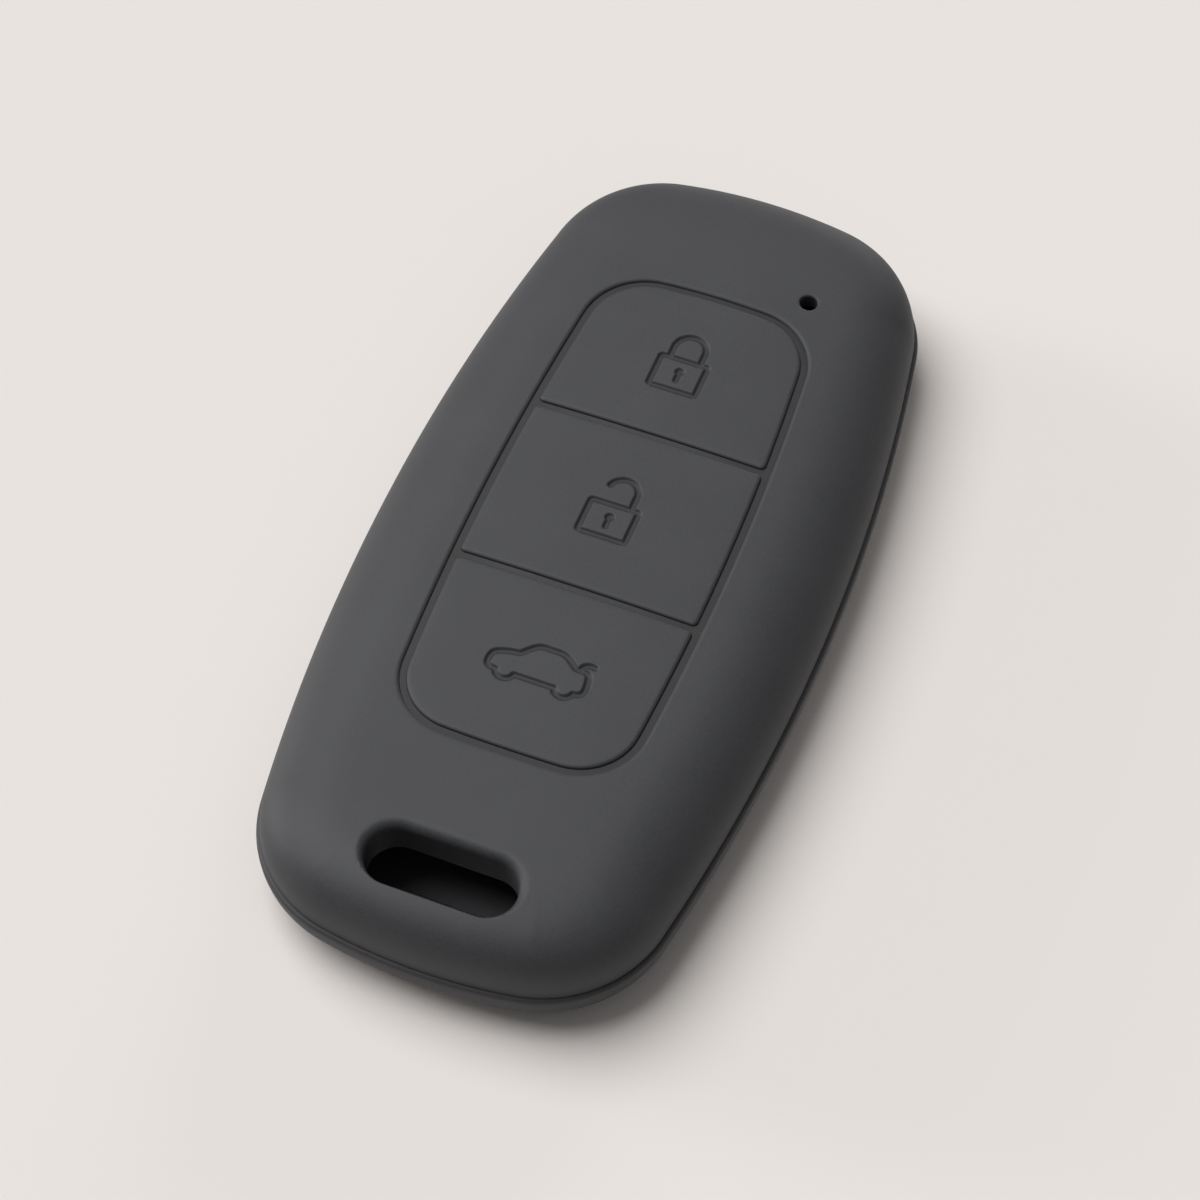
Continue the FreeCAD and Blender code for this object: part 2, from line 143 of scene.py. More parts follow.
class ShellSizes(PropertyGroup):
    """Sizes of the front shell and of the rear tray."""

    width: size("Width", (FRONT_HIGH.x - FRONT_LOW.x) / MM, "Front shell's width at the seam")
    length: size("Length", (FRONT_HIGH.y - FRONT_LOW.y) / MM, "Front shell's length at the seam")
    side_radius: size("Side radius", 197.0, "Radius of the long sides in plan")
    end_radius: size("End radius", 53.0, "Radius of the two ends in plan")
    corner_radius: size("Corner radius", 12.2, "Radius of the four corners in plan")
    seam_height: size("Seam height", FRONT_LOW.z / MM, "Height of the front shell's lower edge")
    top_height: size("Top height", FRONT_HIGH.z / MM, "Height of the top on its middle line")
    crown: number("Crown", 3.2, "Curvature of the top across the cover, per metre")
    shoulder: size("Shoulder", 8.2, "Plan width of the soft shoulder round the top")
    side_power: number("Side power", 2.2, "Power of the superellipse shoulder along the long sides")
    far_power: number("Far power", 3.3, "Power of the superellipse shoulder at the far end")
    near_power: number("Near power", 3.0, "Power of the superellipse shoulder at the slot's end")
    wall: size("Wall", 1.8, "Thickness of the front shell's wall at the seam")
    roof: size("Roof", 1.7, "Thickness of the front shell's roof")
    roof_radius: size("Roof radius", 3.0, "Rounding from the front shell's wall to its roof")
    cavity_radius: size("Cavity radius", 1.5, "Rounding from the tray's tongue to its floor")
    edge_radius: size("Edge radius", 0.08, "Rounding of the front shell's lower edge")
    seam_gap: size("Seam gap", 0.03, "Gap between the two shells")
    ledge: size("Ledge", 0.4, "How far the tray stands proud of the front shell")
    rim_radius: size("Rim radius", 0.38, "Rounding of the tray's rim")
    base_radius: size("Base radius", 5.0, "Rounding from the tray's wall to its base")
    floor: size("Floor", 1.6, "Thickness of the tray's floor")
    tongue_inset: size("Tongue inset", 1.95, "Inset of the locating tongue's outer side")
    tongue_thickness: size("Tongue thickness", 1.0, "Thickness of the locating tongue")
    tongue_lead_in: size("Tongue lead-in", 0.3, "Rounding of the tongue's upper edge")
    innermost: size("Innermost ring", 11.4, "Inset of the last ring on a flat floor")


class OpeningSizes(PropertyGroup):
    """Sizes of the key-ring slot and of the indicator light's hole."""

    slot_length: size("Slot length", 14.0, "Length of the key-ring slot in the front shell")
    slot_width: size("Slot width", 5.5, "Width of the key-ring slot in the front shell")
    slot_y: size("Slot place", FRONT_LOW.y / MM + 6.9, "Place of the slot along the cover")
    slot_lip: size("Slot lip", 1.0, "Rounding of the slot's upper edge")
    slot_wall: size("Slot wall", 3.9, "Depth of the slot's wall below the top")
    slot_collar: size("Slot collar", 1.4, "Thickness of the collar round the slot")
    rear_slot_length: size("Rear slot length", 13.2, "Length of the slot in the tray")
    rear_slot_width: size("Rear slot width", 4.7, "Width of the slot in the tray")
    rear_slot_chamfer: size("Rear slot chamfer", 0.8, "Chamfer of the slot in the base")
    light_x: size("Light across", 8.6, "Place of the light's hole across the cover")
    light_y: size("Light along", 32.2, "Place of the light's hole along the cover")
    light_diameter: size("Light diameter", 1.7, "Diameter of the light's hole")
    light_lip: size("Light lip", 0.25, "Rounding of the light hole's upper edge")
    margin: size("Margin", 0.35, "Least width of the faces that join an opening to the surface round it")


class PadSizes(PropertyGroup):
    """Sizes of the pad window, its groove and the push pads."""

    window_width: size("Window width", 24.6, "Width of the pad window")
    window_top: size("Window top", 29.58, "Upper end of the pad window")
    window_bottom: size("Window bottom", -25.58, "Lower end of the pad window")
    widest: size("Widest place", -0.2, "Place along the cover where the window is widest")
    side_radius: size("Window side radius", 280.0, "Radius of the window's sides")
    top_radius: size("Window top radius", 78.0, "Radius of the window's upper end")
    bottom_radius: size("Window bottom radius", 126.0, "Radius of the window's lower end")
    corner_radius: size("Window corner radius", 6.4, "Radius of the window's corners")
    upper_divider: size("Upper divider", 11.56, "Middle of the groove between the upper and the middle pad")
    lower_divider: size("Lower divider", -7.09, "Middle of the groove between the middle and the lower pad")
    groove_width: size("Groove width", 0.62, "Width of the groove's floor")
    groove_depth: size("Groove depth", 0.3, "Depth of the groove round the pads")
    lip: size("Lip", 0.42, "Width of the rounding on either side of the groove")
    web_gap: size("Web gap", 0.01, "Gap between the web and the window's wall")
    pad_gap: size("Pad gap", 0.01, "Gap between the web and a pad")
    flange_thickness: size("Flange thickness", 0.6, "Thickness of the web's flange under the roof")
    pad_thickness: size("Pad thickness", 1.9, "Thickness of a pad")
    pad_corner: size("Pad corner", 0.55, "Radius of a pad's corners at the dividing grooves")
    plunger_radius: size("Plunger radius", 3.5, "Radius of the plunger under a pad")


class IconSizes(PropertyGroup):
    """Sizes of the pictograms pressed into the pads."""

    line: size("Line", 0.54, "Width of the pictograms' lines")
    depth: size("Depth", 0.22, "Depth of the pictograms")
    wall: size("Line wall", 0.3, "Width of the slope at a line's edge")
    step: size("Mesh step", 0.05, "Size of the mesh that carries the pictograms")
    border: size("Border", 0.6, "Plain border of that mesh round a pictogram")
    padlock_width: size("Padlock width", 4.7, "Width of a padlock's body between its lines' middles")
    padlock_height: size("Padlock height", 3.7, "Height of a padlock's body between its lines' middles")
    padlock_corner: size("Padlock corner", 0.22, "Radius of a padlock's corners")
    padlock_drop: size("Padlock drop", 3.0, "How far the body's lower line lies below the pad's middle")
    shackle_radius: size("Shackle radius", 1.55, "Radius of a closed shackle")
    shackle_leg: size("Shackle leg", 1.38, "Straight leg of a closed shackle")
    open_radius: size("Open shackle radius", 1.45, "Radius of an open shackle")
    open_leg: size("Open shackle leg", 1.6, "Straight leg of an open shackle")
    open_sweep: angle("Open sweep", 162.0, "Turn of an open shackle")
    keyhole_radius: size("Keyhole radius", 0.42, "Radius of a keyhole's eye")
    keyhole_height: size("Keyhole height", 2.25, "Height of the eye above the body's lower line")
    keyhole_stem: size("Keyhole stem", 1.1, "Length of a keyhole's stem")
    stem_width: size("Stem width", 0.5, "Width of a keyhole's stem")
    car_length: size("Car length", 9.3, "Length of the car")
    car_height: size("Car height", 3.5, "Height of the car above its sill")
    car_shift: size("Car shift", 0.15, "How far the car's middle lies to the right of the pad's middle")
    car_rise: size("Car rise", 0.27, "How far the car's middle lies above the pad's middle")
    wheel_radius: size("Wheel radius", 0.95, "Radius of the car's wheels")
    wheel_hidden: angle("Wheel hidden", 17.0, "Turn left out at each end of a wheel's half circle")


class FinishValues(PropertyGroup):
    """Colours and grain of the silicone."""

    silicone: colour("Silicone", (0.0274, 0.0281, 0.0312), "Colour of the cover")
    silicone_pale: colour("Pale silicone", (0.0440, 0.0451, 0.0502), "Colour where the finish is paler")
    # Painted shade: a darker colour on the pictograms' floors and the lower part of the pads' rims, standing
    # for shadow in those recesses
    painted_recess_shade: colour("Painted Shade", (0.0165, 0.0169, 0.0187), "Colour of the floors of the pictograms")
    grain_size: size("Grain size", 0.2, "Size of the fine grain")
    mottle_size: size("Mottle size", 9.0, "Size of the soft patches in the finish")
    relief: size("Relief", 0.012, "Height of the fine grain")


class StageValues(PropertyGroup):
    """Camera, floor and light."""

    azimuth: angle("Azimuth", 22.068, "Camera's turn round the cover")
    elevation: angle("Elevation", 56.261, "Camera's height as an angle")
    roll: angle("Roll", -0.593, "Camera's turn about its own axis")
    distance: size("Distance", 286.74, "Distance of the camera from what it looks at")
    lens: number("Lens", 91.02, "Focal length on a 36 mm sensor, in millimetres")
    target_y: size("Target along", -1.19, "Place along the cover that the camera looks at")
    target_z: size("Target height", 1.787, "Height that the camera looks at")
    floor_colour: colour("Floor", (0.815, 0.769, 0.737), "Colour of the floor, and of the room behind it")
    ambient: number("Ambient", 0.1, "Strength of the even light from all round")


def crown_height(shell, x):
    """Height of the gently crowned top at a place across the cover."""
    return shell.top_height - shell.crown * x ** 2 / 2


def bearing(start, end):
    """Angle of the line from one plan point to another."""
    return math.atan2(end[1] - start[1], end[0] - start[0])


def flip(point):
    """Mirror image of a plan point in the cover's middle line."""
    return np.array((-point[0], point[1]))


def corner_centre(side, side_reach, end, end_reach, upward):
    """Centre of the arc that rounds the right side into the upper end, or the lower one if upward is -1."""
    across = end - side
    span = np.hypot(*across)
    along = (side_reach ** 2 - end_reach ** 2 + span ** 2) / (2 * span)
    aside = math.sqrt(side_reach ** 2 - along ** 2)
    foot = side + across * (along / span)
    normal = np.array((-across[1], across[0])) * (aside / span)
    return max((foot + normal, foot - normal), key=lambda point: point[1] * upward)


class Outline:
    """Barrel-shaped plan outline of eight tangent arcs, anticlockwise from the right side's lower end."""

    def __init__(self, half_width, side_radius, widest, top, bottom):
        """An end is given as its place along the cover, its radius and its corners' radius."""
        side = np.array((half_width - side_radius, widest))
        ends = []
        for upward, (reach, radius, corner_radius) in ((1, top), (-1, bottom)):
            end = np.array((0.0, reach - upward * radius))
            corner = corner_centre(side, side_radius - corner_radius, end, radius - corner_radius, upward)
            ends.append((end, radius, corner, corner_radius, bearing(side, corner), bearing(end, corner)))
        far, far_radius, upper, upper_radius, upper_side, upper_end = ends[0]
        near, near_radius, lower, lower_radius, lower_side, lower_end = ends[1]
        half, full = math.pi, 2 * math.pi
        self.arcs = [
            (side, side_radius, lower_side, upper_side),
            (upper, upper_radius, upper_side, upper_end),
            (far, far_radius, upper_end, half - upper_end),
            (flip(upper), upper_radius, half - upper_end, half - upper_side),
            (flip(side), side_radius, half - upper_side, half - lower_side),
            (flip(lower), lower_radius, half - lower_side, half - lower_end),
            (near, near_radius, half - lower_end, full + lower_end),
            (lower, lower_radius, full + lower_end, full + lower_side),
        ]

    def trace(self, steps, inset):
        """Rows of x and y at an inset from the outline, with so many steps on each arc."""
        rows = []
        for (centre, radius, start, end), count in zip(self.arcs, steps):
            turn = np.linspace(start, end, count, endpoint=False)
            reach = radius - inset
            rows.append(np.column_stack((centre[0] + reach * np.cos(turn), centre[1] + reach * np.sin(turn))))
        return np.vstack(rows)


class Capsule:
    """Round-ended plan shape that lies across the cover."""

    def __init__(self, x, y, length, width):
        self.middle = np.array((x, y))
        self.reach = (length - width) / 2
        self.radius = width / 2

    def spokes(self, around):
        """Foot on the middle line, direction and distance of each point of a loop round the shape."""
        along = np.clip(around[:, 0] - self.middle[0], -self.reach, self.reach)
        foot = self.middle + np.column_stack((along, np.zeros(len(along))))
        away = around - foot
        distance = np.hypot(away[:, 0], away[:, 1])[:, None]
        return foot, away / distance, distance

    def ring(self, around, grow, share=1.0):
        """Points between a loop, at share 0, and the shape's edge made larger by grow, at share 1."""
        foot, direction, distance = self.spokes(around)
        return foot + direction * (distance + (self.radius + grow - distance) * share)


def shell_outline(shell):
    """Outline of the front shell at the seam."""
    far = (shell.length / 2, shell.end_radius, shell.corner_radius)
    near = (-shell.length / 2, shell.end_radius, shell.corner_radius)
    return Outline(shell.width / 2, shell.side_radius, 0.0, far, near)


def window_outline(pads):
    """Outline of the pad window."""
    top = (pads.window_top, pads.top_radius, pads.corner_radius)
    bottom = (pads.window_bottom, pads.bottom_radius, pads.corner_radius)
    return Outline(pads.window_width / 2, pads.side_radius, pads.widest, top, bottom)


def pad_outline(pads, node, grow):
    """Outline of one pad, made larger all round by grow."""
    inset = pads.groove_width - grow
    reach = pads.groove_width / 2 - grow
    top = (pads.window_top - inset, pads.top_radius - inset, pads.corner_radius - inset)
    bottom = (pads.window_bottom + inset, pads.bottom_radius - inset, pads.corner_radius - inset)
    above = {"unlock_button": pads.upper_divider, "trunk_button": pads.lower_divider}
    below = {"lock_button": pads.upper_divider, "unlock_button": pads.lower_divider}
    if node in above:
        top = (above[node] - reach, STRAIGHT, pads.pad_corner + grow)
    if node in below:
        bottom = (below[node] + reach, STRAIGHT, pads.pad_corner + grow)
    return Outline(pads.window_width / 2 - inset, pads.side_radius - inset, pads.widest, top, bottom)


def raised(plan, height):
    """Plan points lifted to a height, or to one height each."""
    return np.column_stack((plan, np.broadcast_to(height, len(plan))))


def quarter_turn(steps):
    """Shares (run, rise) of a quarter round that sets out flat and ends upright."""
    turns = np.linspace(0.0, math.pi / 2, steps + 1)[1:]
    return [(math.sin(turn), 1 - math.cos(turn)) for turn in turns]


def lip_stations(shell, pads, trace):
    """Stations down the rounding beside the groove. trace gives plan points at a distance from its foot."""
    stations = []
    for run, rise in quarter_turn(LIP_STEPS):
        plan = trace(pads.lip * (1 - run))
        stations.append(raised(plan, crown_height(shell, plan[:, 0]) - pads.groove_depth * rise))
    return stations


def plan_of(ring):
    """Plan points of a loop of vertices."""
    return np.array([(vert.co.x, vert.co.y) for vert in ring])


def place(ring, points):
    """Moves a loop of vertices onto points."""
    for vert, point in zip(ring, points):
        vert.co = point


def loop_edges(bm, ring):
    """Edges of a closed loop of vertices."""
    return [bm.edges.get(pair) for pair in zip(ring, ring[1:] + ring[:1])]


def start_ring(bm, points):
    """New closed loop of vertices at points."""
    ring = list(bmesh.ops.create_circle(bm, segments=len(points), radius=MM)["verts"])
    place(ring, points)
    return ring


def extend(bm, ring, points):
    """Extrudes a closed loop once and moves the new loop onto points."""
    made = bmesh.ops.extrude_edge_only(bm, edges=loop_edges(bm, ring))["geom"]
    fresh = {item for item in made if isinstance(item, bmesh.types.BMVert)}
    following = []
    for vert in ring:
        neighbours = [edge.other_vert(vert) for edge in vert.link_edges]
        following.append(next(other for other in neighbours if other in fresh))
    place(following, points)
    return following


def loft(bm, ring, stations):
    """Extends a closed loop through a list of stations and returns all its loops."""
    rings = [ring]
    for points in stations:
        rings.append(extend(bm, rings[-1], points))
    return rings


def bridge(bm, ring, other):
    """Joins two closed loops with faces."""
    bmesh.ops.bridge_loops(bm, edges=loop_edges(bm, ring) + loop_edges(bm, other))


def cap(bm, ring):
    """Closes a flat loop."""
    bmesh.ops.edgeloop_fill(bm, edges=loop_edges(bm, ring))


def clear_block(bm, rings, centre, half_size):
    """Deletes the faces round an opening's place and returns the loop of vertices that is left round it."""
    middle = Vector(centre)

    def distance(spot):
        vert = rings[spot[0]][spot[1]]
        return (vert.co.xy - middle).length if vert.is_valid else math.inf

    spots = [(row, column) for row in range(len(rings)) for column in range(len(rings[row]))]
    row, column = min(spots, key=distance)

    def outside(index, step, inside):
        while inside(index):
            index += step
        return index

    def row_inside(index):
        return abs(rings[index][column].co.y - middle.y) < half_size[1]

    def column_inside(index):
        return abs(rings[row][index].co.x - middle.x) < half_size[0]

    rows = range(outside(row, -1, row_inside), outside(row, 1, row_inside) + 1)
    columns = range(outside(column, -1, column_inside), outside(column, 1, column_inside) + 1)
    border = [rings[rows[0]][index] for index in columns[:-1]]
    border += [rings[index][columns[-1]] for index in rows[:-1]]
    border += [rings[rows[-1]][index] for index in reversed(columns[1:])]
    border += [rings[index][columns[0]] for index in reversed(rows[1:])]
    faces = []
    for index in rows[:-1]:
        for across in columns[:-1]:
            corners = [rings[index][across], rings[index][across + 1],
                       rings[index + 1][across + 1], rings[index + 1][across]]
            faces.append(bm.faces.get(corners))
    bmesh.ops.delete(bm, geom=faces, context="FACES")
    return border


def end_inset(shell, plan):
    """Inset of plan points from the nearer end of the seam outline."""
    beyond = np.abs(plan[:, 1]) - (shell.length / 2 - shell.end_radius)
    return shell.end_radius - np.hypot(plan[:, 0], beyond)


def end_facing(shell, plan):
    """How far plan points near an end face along the cover: 1 at the far end, -1 at the near end."""
    beyond = np.abs(plan[:, 1]) - (shell.length / 2 - shell.end_radius)
    return np.sign(plan[:, 1]) * beyond / np.hypot(plan[:, 0], beyond)


def shoulder_points(shell, plan, inset, facing):
    """Points of the front shell's outside at an inset, where the outline faces so far along the cover."""
    end_power = np.where(facing > 0, shell.far_power, shell.near_power)
    power = shell.side_power + (end_power - shell.side_power) * np.abs(facing)
    level = np.clip(1 - inset / shell.shoulder, 0.0, 1.0) ** power
    foot = shell.seam_height + shell.edge_radius
    top = crown_height(shell, plan[:, 0])
    return raised(plan, foot + (top - foot) * (1 - level) ** (1 / power))


def near_shoulder(shell, plan):
    """Points of the front shell's outside above plan points near an end."""
    return shoulder_points(shell, plan, end_inset(shell, plan), end_facing(shell, plan))


def rounded_step(inset, start, radius):
    """Height lost or won where a flat floor rounds into a wall that stands at start."""
    run = np.clip(start + radius - inset, 0.0, radius)
    return radius - np.sqrt(radius ** 2 - run ** 2)


def roof_underside(shell, plan):
    """Points on the underside of the roof."""
    drop = rounded_step(end_inset(shell, plan), shell.wall, shell.roof_radius)
    return raised(plan, shell.top_height - shell.roof - drop)


def tray_floor(shell, plan):
    """Points on the tray's inner floor."""
    inner = shell.tongue_inset + shell.tongue_thickness
    return raised(plan, shell.floor + rounded_step(end_inset(shell, plan), inner, shell.cavity_radius))


def tray_base(shell, plan):
    """Points on the tray's underside."""
    return raised(plan, rounded_step(end_inset(shell, plan), -shell.ledge, shell.base_radius))


def front_stations(shell, pads):
    """Stations of the front shell from the inner edge of its foot, over the top and back along the inside."""
    outline, window = shell_outline(shell), window_outline(pads)
    seam, underside = shell.seam_height, shell.top_height - shell.roof

    def outer(inset):
        return outline.trace(SHELL_STEPS, inset)

    def opening(grow):
        return window.trace(SHELL_STEPS, -grow)

    foot = [raised(outer(shell.wall), seam), raised(outer(shell.edge_radius), seam)]
    for run, rise in quarter_turn(ROUND_STEPS):
        foot.append(raised(outer(shell.edge_radius * (1 - run)), seam + shell.edge_radius * rise))
    top = []
    facing = (outer(0.0) - outer(MM))[:, 1] / MM
    for turn in np.linspace(0.0, math.pi / 2, SHOULDER_STEPS + 1)[1:]:
        inset = shell.shoulder * (1 - max(math.cos(turn), 0.0) ** (2 / shell.far_power))
        top.append(shoulder_points(shell, outer(inset), inset, facing))
    edge, lip = outer(shell.shoulder), opening(pads.lip)
    for share in np.linspace(0.0, 1.0, ROOF_STEPS + 1)[1:]:
        plan = edge + (lip - edge) * share
        top.append(raised(plan, crown_height(shell, plan[:, 0])))
    mouth = lip_stations(shell, pads, opening) + [raised(opening(0.0), underside)]
    inside = []
    wall, flat = opening(0.0), outer(shell.wall + shell.roof_radius)
    for share in np.linspace(0.0, 1.0, ROOF_STEPS + 1)[1:]:
        inside.append(raised(wall + (flat - wall) * share, underside))
    for run, rise in quarter_turn(ROUND_STEPS):
        plan = outer(shell.wall + shell.roof_radius * (1 - run))
        inside.append(raised(plan, underside - shell.roof_radius * rise))
    return foot, top, mouth, inside


def make_front_shell(shell, openings, pads):
    """Front shell with its pad window, key-ring slot and light hole."""
    bm = bmesh.new()
    foot, top, mouth, inside = front_stations(shell, pads)
    rings = loft(bm, start_ring(bm, foot[0]), foot[1:] + top + mouth + inside)
    bridge(bm, rings[-1], rings[0])
    top_rings = rings[len(foot):len(foot) + len(top)]
    inside_rings = rings[-len(inside):]
    slot = Capsule(0.0, openings.slot_y, openings.slot_length, openings.slot_width)
    light = Capsule(openings.light_x, openings.light_y, openings.light_diameter, openings.light_diameter)
    collar_foot = shell.top_height - openings.slot_wall
    mouths = ((slot, openings.slot_lip, openings.slot_collar), (light, openings.light_lip, 0.0))
    for shape, lip, collar in mouths:
        beyond = shape.radius + max(lip, collar) + openings.margin
        half_size = (shape.reach + beyond, beyond)
        border = clear_block(bm, top_rings, shape.middle, half_size)
        around = plan_of(border)
        stations = []
        for share in np.linspace(0.0, 1.0, FUNNEL_STEPS + 1)[1:]:
            plan = shape.ring(around, lip, share)
            stations.append(near_shoulder(shell, plan))
        for run, rise in quarter_turn(LIP_STEPS):
            plan = shape.ring(around, lip * (1 - run))
            outside = near_shoulder(shell, plan)
            outside[:, 2] = np.minimum(outside[:, 2], crown_height(shell, plan[:, 0]) - lip * rise)
            stations.append(outside)
        edge = shape.ring(around, 0.0)
        if collar:
            thick = shape.ring(around, collar)
            stations += [raised(edge, collar_foot), raised(thick, collar_foot), roof_underside(shell, thick)]
        else:
            stations.append(roof_underside(shell, edge))
        tunnel = loft(bm, border, stations)
        bridge(bm, tunnel[-1], clear_block(bm, inside_rings, shape.middle, half_size))
    return bm


def make_rear_shell(shell, openings):
    """Rear tray with its rim, locating tongue and the lower half of the slot."""
    bm = bmesh.new()
    outline = shell_outline(shell)
    rim = shell.seam_height - shell.seam_gap
    tongue_top = REAR_HIGH.z
    inner = shell.tongue_inset + shell.tongue_thickness
    floor_edge = inner + shell.cavity_radius
    base_edge = shell.base_radius - shell.ledge

    def at(inset, height):
        return raised(outline.trace(SHELL_STEPS, inset), height)

    floor = [at(inset, shell.floor) for inset in np.linspace(shell.innermost, floor_edge, BASE_STEPS)]
    for run, rise in quarter_turn(ROUND_STEPS):
        floor.append(at(floor_edge - shell.cavity_radius * run, shell.floor + shell.cavity_radius * rise))
    wall = [at(inner, tongue_top), at(shell.tongue_inset + shell.tongue_lead_in, tongue_top)]
    for run, rise in quarter_turn(ROUND_STEPS):
        inset = shell.tongue_inset + shell.tongue_lead_in * (1 - run)
        wall.append(at(inset, tongue_top - shell.tongue_lead_in * rise))
    wall += [at(shell.tongue_inset, rim), at(shell.rim_radius - shell.ledge, rim)]
    for run, rise in quarter_turn(ROUND_STEPS):
        wall.append(at(shell.rim_radius * (1 - run) - shell.ledge, rim - shell.rim_radius * rise))
    base = []
    for run, rise in reversed([(0.0, 0.0)] + quarter_turn(BASE_STEPS)):
        base.append(at(shell.base_radius * (1 - run) - shell.ledge, shell.base_radius * rise))
    base += [at(inset, 0.0) for inset in np.linspace(base_edge, shell.innermost, BASE_STEPS)[1:]]
    rings = loft(bm, start_ring(bm, floor[0]), floor[1:] + wall + base)
    cap(bm, rings[0])
    cap(bm, rings[-1])
    near_wall = (openings.slot_width - openings.rear_slot_width) / 2
    slot = Capsule(0.0, openings.slot_y - near_wall, openings.rear_slot_length, openings.rear_slot_width)
    beyond = slot.radius + openings.rear_slot_chamfer + openings.margin
    half_size = (slot.reach + beyond, beyond)
    border = clear_block(bm, rings[:len(floor)], slot.middle, half_size)
    around = plan_of(border)
    stations = []
    for share in np.linspace(0.0, 1.0, FUNNEL_STEPS + 1)[1:]:
        stations.append(tray_floor(shell, slot.ring(around, 0.0, share)))
    stations.append(raised(slot.ring(around, 0.0), openings.rear_slot_chamfer))
    stations.append(tray_base(shell, slot.ring(around, openings.rear_slot_chamfer)))
    tunnel = loft(bm, border, stations)
    bridge(bm, tunnel[-1], clear_block(bm, rings[-len(base):], slot.middle, half_size))
    return bm


def make_keypad_web(shell, pads):
    """Web round the pads: its top is the groove's floor, and its flange lies under the roof."""
    bm = bmesh.new()
    window = window_outline(pads)
    underside = shell.top_height - shell.roof
    flange_low = underside - pads.flange_thickness
    flange = WEB_HIGH.x - pads.window_width / 2

    def groove_floor(plan):
        return raised(plan, crown_height(shell, plan[:, 0]) - pads.groove_depth)

    inner, outer = window.trace(SHELL_STEPS, pads.web_gap), window.trace(SHELL_STEPS, -flange)
    stations = [raised(inner, underside), raised(outer, underside), raised(outer, flange_low)]
    rings = loft(bm, start_ring(bm, groove_floor(inner)), stations)
    top_edges, low_edges = loop_edges(bm, rings[0]), loop_edges(bm, rings[-1])
    for node in PAD_BODIES:
        plan = pad_outline(pads, node, pads.pad_gap).trace(SHELL_STEPS, 0.0)
        hole = loft(bm, start_ring(bm, groove_floor(plan)), [raised(plan, flange_low)])
        top_edges += loop_edges(bm, hole[0])
        low_edges += loop_edges(bm, hole[-1])
    for edges in (top_edges, low_edges):
        bmesh.ops.triangle_fill(bm, use_beauty=True, edges=edges, normal=(0.0, 0.0, 1.0))
    return bm


def smooth_chain(points):
    """Smooth curve through points, as a list of points close together."""
    rows = [np.array(point) for point in points]
    rows = [2 * rows[0] - rows[1]] + rows + [2 * rows[-1] - rows[-2]]
    curve = []
    for before, start, end, after in zip(rows, rows[1:], rows[2:], rows[3:]):
        for share in np.linspace(0.0, 1.0, CURVE_STEPS, endpoint=False):
            curve.append(0.5 * (2 * start + (end - before) * share
                                + (2 * before - 5 * start + 4 * end - after) * share ** 2
                                + (3 * start - before - 3 * end + after) * share ** 3))
    return curve + [rows[-2]]


def turn_chain(centre, radius, start, end, steps=ARC_STEPS):
    """Points of an arc."""
    turns = np.linspace(start, end, steps + 1)
    return [np.array(centre) + radius * np.array((math.cos(turn), math.sin(turn))) for turn in turns]


def padlock(icons, is_open):
    """Padlock pictogram round the pad's middle, as strokes (points, half width)."""
    half = icons.padlock_width / 2
    low = -icons.padlock_drop
    high = low + icons.padlock_height
    right, up = half - icons.padlock_corner, high - icons.padlock_corner
    down = low + icons.padlock_corner
    body = []
    for quarter, centre in enumerate(((right, up), (-right, up), (-right, down), (right, down))):
        start = quarter * math.pi / 2
        body += turn_chain(centre, icons.padlock_corner, start, start + math.pi / 2, PADLOCK_CORNER_STEPS)
    body.append(body[0])
    radius = icons.open_radius if is_open else icons.shackle_radius
    leg_top = high + (icons.open_leg if is_open else icons.shackle_leg)
    sweep = icons.open_sweep if is_open else math.pi
    leg = icons.shackle_radius
    shackle = [(leg, high)] + turn_chain((leg - radius, leg_top), radius, 0.0, sweep)
    if not is_open:
        shackle.append((-leg, high))
    eye = low + icons.keyhole_height
    line = icons.line / 2
    return [
        (body, line),
        (shackle, line),
        ([(0.0, eye), (0.0, eye)], icons.keyhole_radius),
        ([(0.0, eye), (0.0, eye - icons.keyhole_stem)], icons.stem_width / 2),
    ]


def car(icons):
    """Car with its boot lid raised, round the pad's middle, as strokes (points, half width)."""
    middle = np.array((icons.car_shift, icons.car_rise))
    half = np.array((icons.car_length / 2, icons.car_height / 2))

    def at(along, up):
        return middle + half * (along, up)

    rear, front = at(0.625, -0.96), at(-0.585, -0.96)
    reach = np.array((icons.wheel_radius * math.cos(icons.wheel_hidden), 0.0))
    lift = np.array((0.0, icons.wheel_radius * math.sin(icons.wheel_hidden)))
    wheel_turn = (-icons.wheel_hidden, icons.wheel_hidden - math.pi)
    nose = [front - reach, at(-0.93, -0.86), at(-0.99, -0.56), at(-0.95, -0.02), at(-0.74, 0.24),
            at(-0.46, 0.38)]
    roof = [at(-0.46, 0.38), at(-0.18, 1.05), at(0.10, 1.12), at(0.38, 1.05), at(0.67, 0.52)]
    tail = [at(0.67, 0.52), at(0.93, 0.40), at(1.0, -0.16), at(1.0, -0.68), at(0.92, -0.90), rear + reach]
    lid = [at(0.73, 0.48), at(0.81, 0.80), at(0.90, 0.92), at(1.0, 0.90)]
    line = icons.line / 2
    return [
        (smooth_chain(nose), line),
        (smooth_chain(roof), line),
        (smooth_chain(tail), line),
        (smooth_chain(lid), line),
        (turn_chain(rear + lift, icons.wheel_radius, *wheel_turn), line),
        ([rear - reach, front + reach], line),
        (turn_chain(front + lift, icons.wheel_radius, *wheel_turn), line),
    ]


